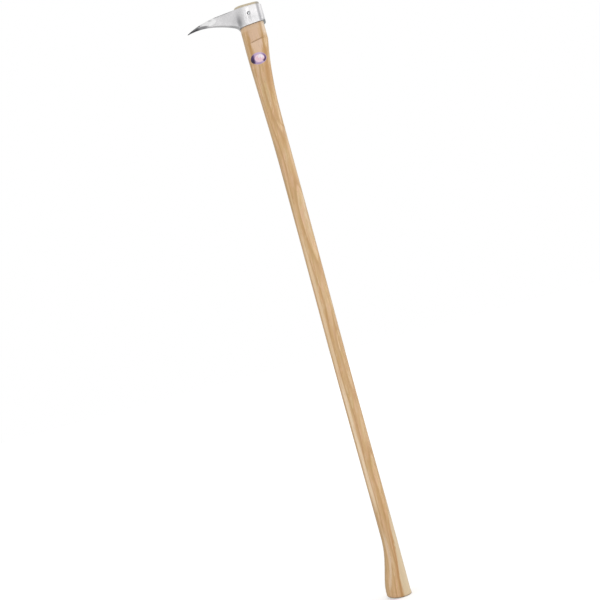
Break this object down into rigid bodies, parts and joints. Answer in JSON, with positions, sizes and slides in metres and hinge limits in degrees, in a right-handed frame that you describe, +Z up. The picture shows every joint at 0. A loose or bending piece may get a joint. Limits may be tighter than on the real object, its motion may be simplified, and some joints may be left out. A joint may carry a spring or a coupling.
{
  "type": "pickaroon",
  "caption": "Long-handled log hook: a forged steel head with an oval eye and a curved, tapering beak, wedged and screwed to a straight ash handle with a flared butt.",
  "frame": {"origin": "centre line of the shaft, on the flat end of the butt", "axes": "+Z up the handle to the head; the beak points to -X; -Y is the side with the label and the screw"},
  "size_m": [0.1684, 0.0422, 1.3],
  "materials": {
    "forged_steel": "forged, then ground to a light satin; the point is ground darker",
    "ash_wood": "shaved and sanded, with a thin clear lacquer",
    "wedge_wood": "sawn end grain",
    "wedge_steel": "dark mill scale, hammered at the top",
    "screw_steel": "zinc-plated, dull",
    "label_film": "printed film, glossy"
  },
  "bodies": {
    "root": {"head": "forged_steel", "handle": "ash_wood", "wooden_wedge": "wedge_wood", "steel_wedge_front": "wedge_steel", "steel_wedge_back": "wedge_steel", "fixing_screw": "screw_steel", "label": "label_film"}
  },
  "joints": []
}
